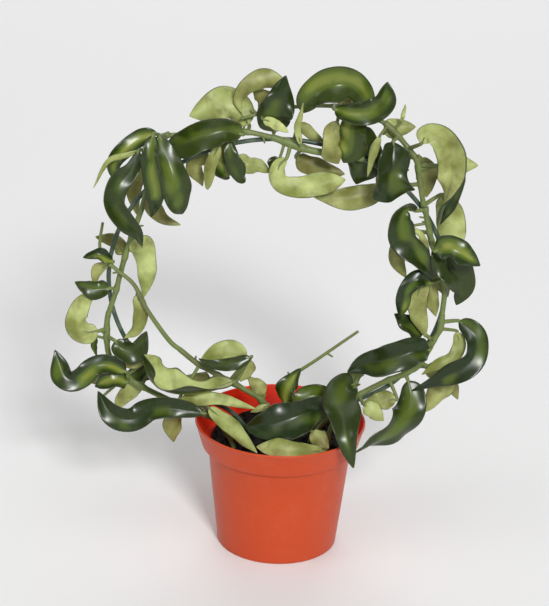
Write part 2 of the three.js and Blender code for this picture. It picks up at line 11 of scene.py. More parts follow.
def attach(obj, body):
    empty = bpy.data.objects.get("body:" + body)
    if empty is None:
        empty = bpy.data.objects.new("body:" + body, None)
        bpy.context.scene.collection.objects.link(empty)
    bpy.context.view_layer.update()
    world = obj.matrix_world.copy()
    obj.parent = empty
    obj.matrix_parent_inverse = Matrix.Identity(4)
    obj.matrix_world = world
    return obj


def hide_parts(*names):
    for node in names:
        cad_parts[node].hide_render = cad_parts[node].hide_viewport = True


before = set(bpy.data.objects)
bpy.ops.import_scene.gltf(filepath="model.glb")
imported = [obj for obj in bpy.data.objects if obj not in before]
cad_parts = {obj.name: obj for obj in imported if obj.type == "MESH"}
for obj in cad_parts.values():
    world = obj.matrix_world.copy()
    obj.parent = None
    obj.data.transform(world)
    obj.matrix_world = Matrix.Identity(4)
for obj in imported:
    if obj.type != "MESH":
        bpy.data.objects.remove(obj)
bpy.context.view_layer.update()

# Camera: a long lens a metre and a half away, looking down on the pot and leaning a touch to one side.
MM = 0.001
CAMERA_AIM = Vector((-6.73, 0, 181.15))
CAMERA_DISTANCE = 1600
CAMERA_DROP = math.radians(22.36)
CAMERA_LEAN = math.radians(1.87)
LENS = 137.68
SENSOR = 36
NEAREST = 10

camera = bpy.data.objects.new("camera", bpy.data.cameras.new("camera"))
bpy.context.collection.objects.link(camera)
camera.data.lens = LENS
camera.data.sensor_width = SENSOR
camera.data.clip_start = NEAREST * MM
backward = Vector((0, -math.cos(CAMERA_DROP), math.sin(CAMERA_DROP)))
sideways = Vector((1, 0, 0))
upward = backward.cross(sideways)
rightward = sideways * math.cos(CAMERA_LEAN) + upward * math.sin(CAMERA_LEAN)
upward = backward.cross(rightward)
camera.matrix_world = Matrix((rightward, upward, backward)).transposed().to_4x4()
camera.matrix_world.translation = (CAMERA_AIM + backward * CAMERA_DISTANCE) * MM
bpy.context.scene.camera = camera
bpy.context.scene.view_settings.view_transform = "Standard"

# Studio: a wide table of matt painted board, which only takes soft shadows. The main light is a soft box
# above the camera. Two panels under the ceiling, a small box at the left and light off the room fill in.
TABLE_HALF = 10000
TABLE_PAINT = "E8E8E8"
ROOM_LIGHT = 0.3
LIGHTS_AIM = 180


def linear(colour):
    parts = [int(colour[k:k + 2], 16) / 255 for k in (0, 2, 4)]
    return [c / 12.92 if c <= 0.04045 else ((c + 0.055) / 1.055) ** 2.4 for c in parts] + [1.0]


def start_material(name, **sockets):
    material = bpy.data.materials.new(name)
    material.use_nodes = True
    shader = material.node_tree.nodes["Principled BSDF"]
    for socket, value in sockets.items():
        shader.inputs[socket.replace("_", " ")].default_value = value
    return material, material.node_tree, shader


def finish_mesh(bm, name, *materials):
    mesh = bpy.data.meshes.new(name)
    bm.to_mesh(mesh)
    bm.free()
    for material in materials:
        mesh.materials.append(material)
    mesh.polygons.foreach_set("use_smooth", [True] * len(mesh.polygons))
    piece = bpy.data.objects.new(name, mesh)
    bpy.context.collection.objects.link(piece)
    return piece


painted_board, tree, shader = start_material("painted board, matt", Roughness=0.9)
shader.inputs["Base Color"].default_value = linear(TABLE_PAINT)
bm = bmesh.new()
bmesh.ops.create_grid(bm, x_segments=2, y_segments=2, size=TABLE_HALF * MM)
table = finish_mesh(bm, "table", painted_board)

world = bpy.data.worlds.new("light off the room")
world.use_nodes = True
world.node_tree.nodes["Background"].inputs["Color"].default_value = (1, 1, 1, 1)
world.node_tree.nodes["Background"].inputs["Strength"].default_value = ROOM_LIGHT
bpy.context.scene.world = world
for name, place_m, size_m, watts in (
    ("box above the camera", (1.7, -6.56, 4.42), 1.5, 500),
    ("ceiling over the front", (0, -1.0, 2.6), 1.4, 9),
    ("ceiling over the back", (0, 3.3, 2.3), 3.2, 62),
    ("box at the left", (-3.5, -1.2, 1.6), 1.2, 14),
):
    light = bpy.data.objects.new(name, bpy.data.lights.new(name, "AREA"))
    bpy.context.collection.objects.link(light)
    light.data.size = size_m
    light.data.energy = watts
    light.location = place_m
    from_aim = Vector(place_m) - Vector((0, 0, LIGHTS_AIM * MM))
    light.rotation_euler = from_aim.to_track_quat("Z", "Y").to_euler()

# Pot: a thin nursery pot of orange-red polypropylene, injection moulded with a flared collar and drain holes.
# The mould leaves its satin skin slightly pebbled, and handling leaves pale scuffs.
# The wall is thin, and its inner side is painted brighter and redder: a painted glow of the light coming
# through.
POT_HEIGHT = 93
RIM_RADIUS = 60
COLLAR_FOOT = 55.4
NECK_RADIUS = 50.5
NECK_HEIGHT = 73
BASE_RADIUS = 42.5
WALL = 1.3
FLOOR = 2
DRAIN_COUNT = 6
DRAIN_RADIUS = 4
DRAIN_CIRCLE = 27
DRAIN_STEPS = 32
DRILL_DEPTH = 3 * FLOOR
POT_STEPS = 160
LEVEL = 0.9999
PEBBLE = 0.5
SCUFF = 14


def add(tree, kind, inputs=(), **settings):
    made = tree.nodes.new("ShaderNode" + kind)
    for name, value in settings.items():
        setattr(made, name, value)
    for socket, value in dict(inputs).items():
        if isinstance(value, bpy.types.NodeSocket):
            tree.links.new(value, made.inputs[socket])
        else:
            made.inputs[socket].default_value = value
    return made


polypropylene, tree, shader = start_material("polypropylene, moulded satin", Roughness=0.42)
shader.inputs["Specular IOR Level"].default_value = 0.25
shader.inputs["Subsurface Weight"].default_value = 0.12
shader.inputs["Subsurface Radius"].default_value = (1.0, 0.3, 0.15)
shader.inputs["Subsurface Scale"].default_value = 0.003
place_on = add(tree, "TexCoord").outputs["Object"]
scuffs = add(tree, "TexNoise", {"Vector": place_on, "Scale": 1000 / SCUFF, "Detail": 6, "Roughness": 0.7})
worn = add(tree, "MapRange", {
    "Value": scuffs.outputs["Fac"], "From Min": 0.5, "From Max": 0.78, "To Max": 0.5,
})
colour = add(tree, "Mix", {0: worn.outputs[0], 6: linear("BE4722"), 7: linear("C85839")}, data_type="RGBA")
tree.links.new(colour.outputs[2], shader.inputs["Base Color"])
pebbles = add(tree, "TexNoise", {"Vector": place_on, "Scale": 1000 / PEBBLE, "Detail": 2})
bump = add(tree, "Bump", {"Height": pebbles.outputs["Fac"], "Strength": 0.25, "Distance": 0.05 * MM})
tree.links.new(bump.outputs["Normal"], shader.inputs["Normal"])

# Inner side: the same plastic painted brighter and redder, a painted glow of light coming through the thin
# wall.
lit_wall, tree, shader = start_material("polypropylene, lit through the wall", Roughness=0.5)
shader.inputs["Specular IOR Level"].default_value = 0.25
shader.inputs["Base Color"].default_value = linear("DC2E0C")
shader.inputs["Subsurface Weight"].default_value = 0.5
shader.inputs["Subsurface Radius"].default_value = (1.0, 0.12, 0.05)
shader.inputs["Subsurface Scale"].default_value = 0.004

profile = [
    (0, 0), (BASE_RADIUS - 3, 0), (BASE_RADIUS - 0.9, 0), (BASE_RADIUS - 0.2, 0.4), (BASE_RADIUS, 1.2),
    (BASE_RADIUS + 2.6, 24), (BASE_RADIUS + 5.3, 48), (NECK_RADIUS - 0.1, NECK_HEIGHT - 0.9),
    (NECK_RADIUS + 0.2, NECK_HEIGHT - 0.2), (NECK_RADIUS + 1.2, NECK_HEIGHT + 0.3),
    (COLLAR_FOOT - 1.5, NECK_HEIGHT + 1.2), (COLLAR_FOOT - 0.5, NECK_HEIGHT + 2.1),
    (COLLAR_FOOT, NECK_HEIGHT + 3.6), (COLLAR_FOOT + 2.3, NECK_HEIGHT + 11.5),
    (RIM_RADIUS - 0.5, POT_HEIGHT - 1.9), (RIM_RADIUS, POT_HEIGHT - 1.3), (RIM_RADIUS, POT_HEIGHT - 0.5),
    (RIM_RADIUS - 0.35, POT_HEIGHT - 0.1), (RIM_RADIUS - 0.8, POT_HEIGHT),
    (RIM_RADIUS - 1.2, POT_HEIGHT - 0.2), (RIM_RADIUS - WALL - 0.1, POT_HEIGHT - 0.8),
    (COLLAR_FOOT + 2.3 - WALL, NECK_HEIGHT + 11.5),
    (COLLAR_FOOT - WALL, NECK_HEIGHT + 4.6), (COLLAR_FOOT - WALL - 1, NECK_HEIGHT + 3),
    (NECK_RADIUS - WALL + 0.5, NECK_HEIGHT + 1.6), (NECK_RADIUS - WALL, NECK_HEIGHT + 0.4),
    (BASE_RADIUS - WALL + 2.7, 26), (BASE_RADIUS - WALL, FLOOR + 0.8), (BASE_RADIUS - WALL - 0.8, FLOOR),
    (0, FLOOR),
]
bm = bmesh.new()
dots = [bm.verts.new((radius * MM, 0, height * MM)) for radius, height in profile]
lines = [bm.edges.new(pair) for pair in zip(dots, dots[1:])]
bmesh.ops.spin(bm, geom=dots + lines, axis=(0, 0, 1), steps=POT_STEPS, angle=2 * math.pi, use_merge=True)
bmesh.ops.remove_doubles(bm, verts=bm.verts[:], dist=1e-6)
bmesh.ops.recalc_face_normals(bm, faces=bm.faces[:])
pot = finish_mesh(bm, "nursery_pot", polypropylene)
bm = bmesh.new()
for k in range(DRAIN_COUNT):
    turn = 2 * math.pi * (k + 0.5) / DRAIN_COUNT
    spot = Vector((DRAIN_CIRCLE * math.cos(turn), DRAIN_CIRCLE * math.sin(turn), 0)) * MM
    bmesh.ops.create_cone(
        bm, cap_ends=True, segments=DRAIN_STEPS, radius1=DRAIN_RADIUS * MM, radius2=DRAIN_RADIUS * MM,
        depth=DRILL_DEPTH * MM, matrix=Matrix.Translation(spot))
drills = finish_mesh(bm, "drills")
cut = pot.modifiers.new("drain holes", "BOOLEAN")
cut.object = drills
drilled = bpy.data.meshes.new_from_object(pot.evaluated_get(bpy.context.evaluated_depsgraph_get()))
pot.modifiers.clear()
pot.data = drilled
bpy.data.objects.remove(drills)
pot.data.materials.clear()
pot.data.materials.append(polypropylene)
pot.data.materials.append(lit_wall)
for face in pot.data.polygons:
    faces_in = face.normal.xy.dot(face.center.xy) < 0
    above_floor = face.center.z > DRILL_DEPTH * MM
    face.use_smooth = abs(face.normal.z) < LEVEL or above_floor
    face.material_index = 1 if faces_in and above_floor else 0
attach(pot, "root")
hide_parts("pot")

# Soil: damp dark peat, filled in round the roots to below the rim and pressed down by hand.
# Its top is lumpy, and loose crumbs of peat lie on it.
SOIL_TOP = 79
SOIL_CROWN = 2
SOIL_RADIUS = 48.3
SOIL_BASE_RADIUS = 40.9
SOIL_BASE = 2.4
SOIL_STEPS = 120
SOIL_RINGS = 40
SOIL_LUMP = 9
SOIL_LIFT = 1.6
CRUMBS = 420
CRUMB_FINEST = 0.5
CRUMB_COARSEST = 1.7
CRUMB_ROUGHNESS = 0.45
CRUMB_BUMPS = 900
CRUMB_SEED = 11
FIBRE = 2

peat, tree, shader = start_material("peat, damp", Roughness=0.95, Specular_IOR_Level=0.2)
place_on = add(tree, "TexCoord").outputs["Object"]
grains = add(tree, "TexNoise", {"Vector": place_on, "Scale": 1000 / FIBRE, "Detail": 8, "Roughness": 0.75})
colour = add(tree, "Mix", {
    0: grains.outputs["Fac"], 6: linear("060505"), 7: linear("1E1813"),
}, data_type="RGBA")
tree.links.new(colour.outputs[2], shader.inputs["Base Color"])
bump = add(tree, "Bump", {"Height": grains.outputs["Fac"], "Strength": 0.8, "Distance": 0.8 * MM})
tree.links.new(bump.outputs["Normal"], shader.inputs["Normal"])

bm = bmesh.new()
side = [
    (0, SOIL_BASE), (SOIL_BASE_RADIUS - 2, SOIL_BASE), (SOIL_BASE_RADIUS, SOIL_BASE + 1.6),
    (SOIL_RADIUS - 0.4, SOIL_TOP - 7), (SOIL_RADIUS, SOIL_TOP - 2),
]
top = [
    (SOIL_RADIUS * (1 - k / SOIL_RINGS), SOIL_TOP + SOIL_CROWN * k / SOIL_RINGS)
    for k in range(SOIL_RINGS + 1)
]
dots = [bm.verts.new((radius * MM, 0, height * MM)) for radius, height in side + top]
lines = [bm.edges.new(pair) for pair in zip(dots, dots[1:])]
bmesh.ops.spin(bm, geom=dots + lines, axis=(0, 0, 1), steps=SOIL_STEPS, angle=2 * math.pi, use_merge=True)
bmesh.ops.remove_doubles(bm, verts=bm.verts[:], dist=1e-6)
bmesh.ops.recalc_face_normals(bm, faces=bm.faces[:])
for vert in bm.verts:
    if vert.co.z > (SOIL_TOP - 1) * MM:
        coarse = noise.noise(vert.co / (SOIL_LUMP * MM))
        fine = noise.noise(vert.co / (SOIL_LUMP * MM / 4))
        vert.co.z += (coarse + 0.4 * fine - 0.4) * SOIL_LIFT * MM
scatter = random.Random(CRUMB_SEED)
noise.seed_set(CRUMB_SEED)
for _ in range(CRUMBS):
    reach = (SOIL_RADIUS - 2) * math.sqrt(scatter.random())
    turn = scatter.uniform(0, 2 * math.pi)
    grain = scatter.uniform(CRUMB_FINEST, CRUMB_COARSEST)
    height = SOIL_TOP + SOIL_CROWN * (1 - reach / SOIL_RADIUS)
    spot = Matrix.Translation(Vector((reach * math.cos(turn), reach * math.sin(turn), height)) * MM)
    ball = bmesh.ops.create_icosphere(bm, subdivisions=1, radius=grain * MM, matrix=spot)
    for vert in ball["verts"]:
        vert.co += noise.noise_vector(vert.co * CRUMB_BUMPS) * grain * CRUMB_ROUGHNESS * MM
soil = finish_mesh(bm, "peat_fill", peat)
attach(soil, "root")
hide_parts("soil")

# Hoop: one length of garden wire in a dark green plastic coat, bent to an upright oval.
# Both ends are bent down and pushed deep into the soil. The coat is smooth, a little dusty and dulled by age.
WIRE_RADIUS = 1.6
HOOP_CENTRE = -5.3
HOOP_MIDDLE = 196.6
HOOP_HALF_WIDTH = 116
HOOP_HALF_HEIGHT = 103.6
HOOP_OPEN = 37
HOOP_TURN = 10
HOOP_STEPS = 260
WIRE_FOOT = 45
DUST = 6

vinyl, tree, shader = start_material("vinyl coat on wire, weathered", Roughness=0.4, IOR=1.52)
place_on = add(tree, "TexCoord").outputs["Object"]
dust = add(tree, "TexNoise", {"Vector": place_on, "Scale": 1000 / DUST, "Detail": 5, "Roughness": 0.6})
dull = add(tree, "MapRange", {"Value": dust.outputs["Fac"], "From Min": 0.4, "From Max": 0.7})
colour = add(tree, "Mix", {0: dull.outputs[0], 6: linear("324638"), 7: linear("5A6A55")}, data_type="RGBA")
tree.links.new(colour.outputs[2], shader.inputs["Base Color"])
gloss = add(tree, "MapRange", {"Value": dust.outputs["Fac"], "To Min": 0.3, "To Max": 0.6})
tree.links.new(gloss.outputs[0], shader.inputs["Roughness"])

# Wire, stems and leaves are set out as across, up and out along a sight line that falls at the angle SIGHT,
# so a point that stands out from the hoop's plane also stands higher by out * tan(SIGHT).
SIGHT = math.radians(22.4)
CURVE_STEPS = 24


def place(spot):
    across, height, out = spot
    return Vector((across, -out, height + out * math.tan(SIGHT)))


def run_through(points, count):
    """Evenly spaced places on a smooth curve through the points, and its length."""
    ends = [2 * points[0] - points[1], *points, 2 * points[-1] - points[-2]]
    rough = []
    for k in range(len(points) - 1):
        a, b, c, d = ends[k:k + 4]
        for f in (j / CURVE_STEPS for j in range(CURVE_STEPS)):
            rough.append(0.5 * (2 * b + (c - a) * f + (2 * a - 5 * b + 4 * c - d) * f ** 2
                                + (3 * b - a - 3 * c + d) * f ** 3))
    rough.append(points[-1].copy())
    gone = [0.0]
    for a, b in zip(rough, rough[1:]):
        gone.append(gone[-1] + (b - a).length)
    even, k = [], 0
    for j in range(count + 1):
        mark = gone[-1] * j / count
        while k < len(gone) - 2 and gone[k + 1] < mark:
            k += 1
        share = (mark - gone[k]) / max(gone[k + 1] - gone[k], 1e-9)
        even.append(rough[k].lerp(rough[k + 1], min(1, share)))
    return even, gone[-1]


def add_cane(canes, spots, radii):
    cane = canes.splines.new("POLY")
    cane.points.add(len(spots) - 1)
    for point, spot, radius in zip(cane.points, spots, radii):
        point.co = (*(spot * MM), 1)
        point.radius = radius * MM


def finish_canes(canes, name, material):
    canes.dimensions = "3D"
    canes.bevel_depth = 1
    canes.bevel_resolution = 4
    canes.use_fill_caps = True
    bent = bpy.data.objects.new(name + "_path", canes)
    bpy.context.collection.objects.link(bent)
    mesh = bpy.data.meshes.new_from_object(bent.evaluated_get(bpy.context.evaluated_depsgraph_get()))
    bpy.data.objects.remove(bent)
    bm = bmesh.new()
    bm.from_mesh(mesh)
    bmesh.ops.remove_doubles(bm, verts=bm.verts[:], dist=1e-7)
    bmesh.ops.recalc_face_normals(bm, faces=bm.faces[:])
    return finish_mesh(bm, name, material)


path = [(-22, WIRE_FOOT, 0), (-22, 66, 0), (-24, 84, 0), (-37, 99, 0), (-62, 109, 0)]
for turn in range(270 - HOOP_OPEN, HOOP_OPEN - 91, -HOOP_TURN):
    across = HOOP_CENTRE + HOOP_HALF_WIDTH * math.cos(math.radians(turn))
    path.append((across, HOOP_MIDDLE + HOOP_HALF_HEIGHT * math.sin(math.radians(turn)), 0))
path += [(50, 108, 0), (27, 99, 0), (15, 84, 0), (13, 66, 0), (13, WIRE_FOOT, 0)]
spots, _ = run_through([place(spot) for spot in path], HOOP_STEPS)
canes = bpy.data.curves.new("hoop_wire", "CURVE")
add_cane(canes, spots, [WIRE_RADIUS] * len(spots))
hoop = finish_canes(canes, "hoop_wire", vinyl)
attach(hoop, "root")
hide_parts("hoop")

# Stems: green hoya shoots three or four millimetres thick, led along the wire and a little swollen where each
# leaf stalk leaves, with short spurs of old flowers. The skin is dull, faintly grained and brownish with age.
STEM_GRAIN = 4
STEM_AGEING = 30
STEM_STEPS = 90
STEM_JOIN = 1.8
SWELLING = 0.28
SWELLING_REACH = 2.4
SPURS = 2
SPUR = [(0, 0.95), (1.5, 0.85), (3, 0.7), (4.2, 0.75), (5.2, 0.3)]

green_bark, tree, shader = start_material("green bark, dull", Roughness=0.5, IOR=1.45)
place_on = add(tree, "TexCoord").outputs["Object"]
grain = add(tree, "TexNoise", {
    "Vector": place_on, "Scale": 1000 / STEM_GRAIN, "Detail": 5, "Roughness": 0.65,
})
aged = add(tree, "TexNoise", {"Vector": place_on, "Scale": 1000 / STEM_AGEING, "Detail": 2})
young = add(tree, "Mix", {
    0: grain.outputs["Fac"], 6: linear("515F2E"), 7: linear("7D8B50"),
}, data_type="RGBA")
old = add(tree, "MapRange", {
    "Value": aged.outputs["Fac"], "From Min": 0.5, "From Max": 0.7, "To Max": 0.55,
})
colour = add(tree, "Mix", {0: old.outputs[0], 6: young.outputs[2], 7: linear("5E583A")}, data_type="RGBA")
tree.links.new(colour.outputs[2], shader.inputs["Base Color"])
bump = add(tree, "Bump", {"Height": grain.outputs["Fac"], "Strength": 0.4, "Distance": 0.3 * MM})
tree.links.new(bump.outputs["Normal"], shader.inputs["Normal"])

# Leaves: thick and fleshy, curled like wood shavings, each grown from its stem on a short round stalk.
# The upper side is waxed and deep green, and its middle is painted lighter and yellower:
# a painted glow for the light that gathers in its hollows. The underside is pale, dull and
# faintly veined, and a thin dark margin runs all round.
TO_FRONT = Vector((0, -math.cos(SIGHT), math.sin(SIGHT)))
LEAF_THICKNESS = 1.9
SHOULDER = 0.15
POINT = 0.9
TIP_WIDTH = 0.03
WAVE_DEPTH = 0.38
WAVES = 1.8
WAVE_STAGGER = 1.9
RUMPLE = 0.7
RUMPLE_SIZE = 17
RUFFLE = 0.3
RUFFLE_BEATS = 3.2
RUFFLE_APART = 4
CREASE = 24
ACROSS = 10
ALONG = 24
ROW_CROWDING = 1.2
MIDRIB_STEPS = 60
STALK_STEPS = 14
STALK_THIN = 0.75
STALK_GAIN = 0.028
STALK_STOUTEST = 18
RIDGE_STEPS = 6
RIDGE_SINK = 0.3
PATCH = 20
MOTTLE = 2.2
BLOTCH = 11


def leaf_seat(tree):
    """A point's place across its leaf, off the midrib and along it, and the leaf's tone and chance."""
    seat = add(tree, "SeparateXYZ", {0: add(tree, "UVMap", uv_map="seat").outputs[0]})
    nature = add(tree, "SeparateXYZ", {0: add(tree, "UVMap", uv_map="nature").outputs[0]})
    edge = add(tree, "Math", {0: seat.outputs[0]}, operation="ABSOLUTE")
    return seat.outputs[0], edge.outputs[0], seat.outputs[1], nature.outputs[0], nature.outputs[1]


waxed, tree, shader = start_material("waxed leaf, upper side", Roughness=0.3, IOR=1.36)
shader.inputs["Coat Weight"].default_value = 0.22
shader.inputs["Coat Roughness"].default_value = 0.22
place_on = add(tree, "TexCoord").outputs["Object"]
side, edge, along, tone, chance = leaf_seat(tree)
# Painted light: random patches of lighter, yellower green near the midrib, fading before the tip, are a
# painted glow for light gathered in the leaf's hollows.
drift = add(tree, "TexNoise", {"Vector": place_on, "Scale": 1000 / PATCH, "Detail": 1.5})
lighter = add(tree, "Math", {
    0: tone, 1: 0.18, 2: drift.outputs["Fac"],
}, operation="MULTIPLY_ADD")
swell = add(tree, "MapRange", {
    "Value": lighter.outputs[0], "From Min": 0.35, "From Max": 0.66,
}, interpolation_type="SMOOTHSTEP")
keen = add(tree, "MapRange", {"Value": tone, "From Min": -0.2, "From Max": 0.65})
lean = add(tree, "MapRange", {"Value": chance, "To Min": -0.45, "To Max": 0.45})
aside = add(tree, "Math", {0: side, 1: lean.outputs[0]}, operation="SUBTRACT")
aside = add(tree, "Math", {0: aside.outputs[0]}, operation="ABSOLUTE")
middle = add(tree, "MapRange", {
    "Value": aside.outputs[0], "From Min": 0.9, "From Max": 0.05,
}, interpolation_type="SMOOTHSTEP")
fade = add(tree, "MapRange", {
    "Value": along, "From Min": 1.0, "From Max": 0.72,
}, interpolation_type="SMOOTHSTEP")
painted_glow = add(tree, "Math", {0: swell.outputs[0], 1: keen.outputs[0]}, operation="MULTIPLY")
painted_glow = add(tree, "Math", {0: painted_glow.outputs[0], 1: fade.outputs[0]}, operation="MULTIPLY")
painted_glow = add(tree, "Math", {0: painted_glow.outputs[0], 1: middle.outputs[0]}, operation="MULTIPLY")
deep = add(tree, "Mix", {0: chance, 6: linear("172808"), 7: linear("303E0F")}, data_type="RGBA")
# The painted glow shades the green first to a mid green, then in its strongest parts to a light yellow-green.
first = add(tree, "MapRange", {
    "Value": painted_glow.outputs[0], "From Min": 0.05, "From Max": 0.5,
}, interpolation_type="SMOOTHSTEP")
green = add(tree, "Mix", {0: first.outputs[0], 6: deep.outputs[2], 7: linear("4C5E1A")}, data_type="RGBA")
then = add(tree, "MapRange", {
    "Value": painted_glow.outputs[0], "From Min": 0.5, "From Max": 1.08,
}, interpolation_type="SMOOTHSTEP")
green = add(tree, "Mix", {0: then.outputs[0], 6: green.outputs[2], 7: linear("828A3A")}, data_type="RGBA")
fleck = add(tree, "TexNoise", {"Vector": place_on, "Scale": 1000 / MOTTLE, "Detail": 4, "Roughness": 0.7})
flecked = add(tree, "MapRange", {
    "Value": fleck.outputs["Fac"], "From Min": 0.5, "From Max": 0.8, "To Max": 0.22,
})
green = add(tree, "Mix", {0: flecked.outputs[0], 6: green.outputs[2], 7: linear("4F5A25")}, data_type="RGBA")
rim = add(tree, "MapRange", {
    "Value": edge, "From Min": 0.88, "From Max": 1.0,
}, interpolation_type="SMOOTHSTEP")
green = add(tree, "Mix", {0: rim.outputs[0], 6: green.outputs[2], 7: linear("222614")}, data_type="RGBA")
tree.links.new(green.outputs[2], shader.inputs["Base Color"])
groove = add(tree, "MapRange", {
    "Value": edge, "From Min": 0.0, "From Max": 0.1, "To Min": -1.0, "To Max": 0.0,
}, interpolation_type="SMOOTHSTEP")
relief = add(tree, "Math", {
    0: fleck.outputs["Fac"], 1: 0.25, 2: groove.outputs[0],
}, operation="MULTIPLY_ADD")
bump = add(tree, "Bump", {"Height": relief.outputs[0], "Strength": 0.35, "Distance": 0.3 * MM})
tree.links.new(bump.outputs["Normal"], shader.inputs["Normal"])
gloss = add(tree, "MapRange", {"Value": drift.outputs["Fac"], "To Min": 0.22, "To Max": 0.4})
tree.links.new(gloss.outputs[0], shader.inputs["Roughness"])

pale, tree, shader = start_material("leaf underside, dull", Roughness=0.45, IOR=1.36)
shader.inputs["Subsurface Weight"].default_value = 0.25
shader.inputs["Subsurface Radius"].default_value = (0.6, 1.0, 0.3)
shader.inputs["Subsurface Scale"].default_value = 0.0025
place_on = add(tree, "TexCoord").outputs["Object"]
_, edge, along, tone, _ = leaf_seat(tree)
cloud = add(tree, "TexNoise", {"Vector": place_on, "Scale": 1000 / PATCH, "Detail": 3})
cloudy = add(tree, "MapRange", {"Value": cloud.outputs["Fac"], "From Min": 0.35, "From Max": 0.63})
fresh = add(tree, "Mix", {0: cloudy.outputs[0], 6: linear("7D8640"), 7: linear("B9C37F")}, data_type="RGBA")
olive = add(tree, "Mix", {0: cloudy.outputs[0], 6: linear("625D2C"), 7: linear("939355")}, data_type="RGBA")
skin = add(tree, "Mix", {0: tone, 6: olive.outputs[2], 7: fresh.outputs[2]}, data_type="RGBA")
slant = add(tree, "Math", {0: edge, 1: -0.22, 2: along}, operation="MULTIPLY_ADD")
beat = add(tree, "Math", {0: slant.outputs[0], 1: 44.0}, operation="MULTIPLY")
beat = add(tree, "Math", {0: beat.outputs[0]}, operation="SINE")
vein = add(tree, "MapRange", {"Value": beat.outputs[0], "From Min": 0.8, "From Max": 1.0, "To Max": 0.07})
skin = add(tree, "Mix", {0: vein.outputs[0], 6: skin.outputs[2], 7: linear("646F33")}, data_type="RGBA")
blot = add(tree, "TexNoise", {"Vector": place_on, "Scale": 1000 / BLOTCH, "Detail": 4, "Roughness": 0.6})
blotted = add(tree, "MapRange", {
    "Value": blot.outputs["Fac"], "From Min": 0.5, "From Max": 0.72, "To Max": 0.6,
}, interpolation_type="SMOOTHSTEP")
skin = add(tree, "Mix", {0: blotted.outputs[0], 6: skin.outputs[2], 7: linear("766F40")}, data_type="RGBA")
rim = add(tree, "MapRange", {
    "Value": edge, "From Min": 0.9, "From Max": 1.0,
}, interpolation_type="SMOOTHSTEP")
skin = add(tree, "Mix", {0: rim.outputs[0], 6: skin.outputs[2], 7: linear("4A502C")}, data_type="RGBA")
tree.links.new(skin.outputs[2], shader.inputs["Base Color"])
relief = add(tree, "Math", {
    0: vein.outputs[0], 1: 1.5, 2: blot.outputs["Fac"],
}, operation="MULTIPLY_ADD")
bump = add(tree, "Bump", {"Height": relief.outputs[0], "Strength": 0.3, "Distance": 0.3 * MM})
tree.links.new(bump.outputs["Normal"], shader.inputs["Normal"])

margin, tree, shader = start_material("leaf margin, dark", Roughness=0.4, IOR=1.4)
place_on = add(tree, "TexCoord").outputs["Object"]
fleck = add(tree, "TexNoise", {"Vector": place_on, "Scale": 1000 / MOTTLE, "Detail": 3})
colour = add(tree, "Mix", {
    0: fleck.outputs["Fac"], 6: linear("252C17"), 7: linear("4A5230"),
}, data_type="RGBA")
tree.links.new(colour.outputs[2], shader.inputs["Base Color"])


def leaf(width, midrib, rolls, cup=0, fold=0, tone=0.5, belly=0.35):
    """A leaf's midrib runs from stalk to tip, and its rolls turn the glossy side away from the front."""
    return width, [place(spot) for spot in midrib], rolls, cup, fold, tone, belly


def outline(t, belly):
    """How wide the blade is along its length, from a rounded shoulder past its belly to the tip."""
    if t < belly:
        swell = math.sqrt(1 - (1 - t / belly) ** 2)
    else:
        swell = math.sin(math.pi / 2 * (1 - t) / (1 - belly)) ** POINT
    return TIP_WIDTH + (1 - TIP_WIDTH) * swell


def roll_at(rolls, t):
    seat = t * (len(rolls) - 1)
    k = min(int(seat), max(len(rolls) - 2, 0))
    ease = (seat - k) ** 2 * (3 - 2 * (seat - k))
    return math.radians(rolls[k] + (rolls[min(k + 1, len(rolls) - 1)] - rolls[k]) * ease)


def stand(run, rolls, t):
    """The place at t along a midrib, and the ways out to its edge and out of its glossy side."""
    last = len(run) - 1
    k = min(int(t * last), last - 1)
    centre = run[k].lerp(run[k + 1], t * last - k)
    onward = (run[min(k + 2, last)] - run[max(k - 1, 0)]).normalized()
    facing = (TO_FRONT - onward * TO_FRONT.dot(onward)).normalized()
    glossy = facing * math.cos(roll_at(rolls, t)) + onward.cross(facing) * math.sin(roll_at(rolls, t))
    return centre, onward.cross(glossy), glossy


def bend_at(run, length, t):
    """How sharply the midrib bends, as a vector towards the inside of the bend."""
    last = len(run) - 1
    ends = [min(max(t + step, 0), 1) for step in (-0.1, 0.1)]
    ways = [run[min(round(e * last) + 1, last)] - run[max(round(e * last) - 1, 0)] for e in ends]
    return (ways[1].normalized() - ways[0].normalized()) / ((ends[1] - ends[0]) * length)


def section(side, fold, cup):
    """A point of the blade's section, one unit wide a side: folded at the midrib, then curled on an arc."""
    reach = abs(side)
    if abs(cup) < 1e-3:
        return side * math.cos(fold), reach * math.sin(fold)
    end = fold + cup * reach
    across = (math.sin(end) - math.sin(fold)) / cup
    return math.copysign(across, side), (math.cos(fold) - math.cos(end)) / cup


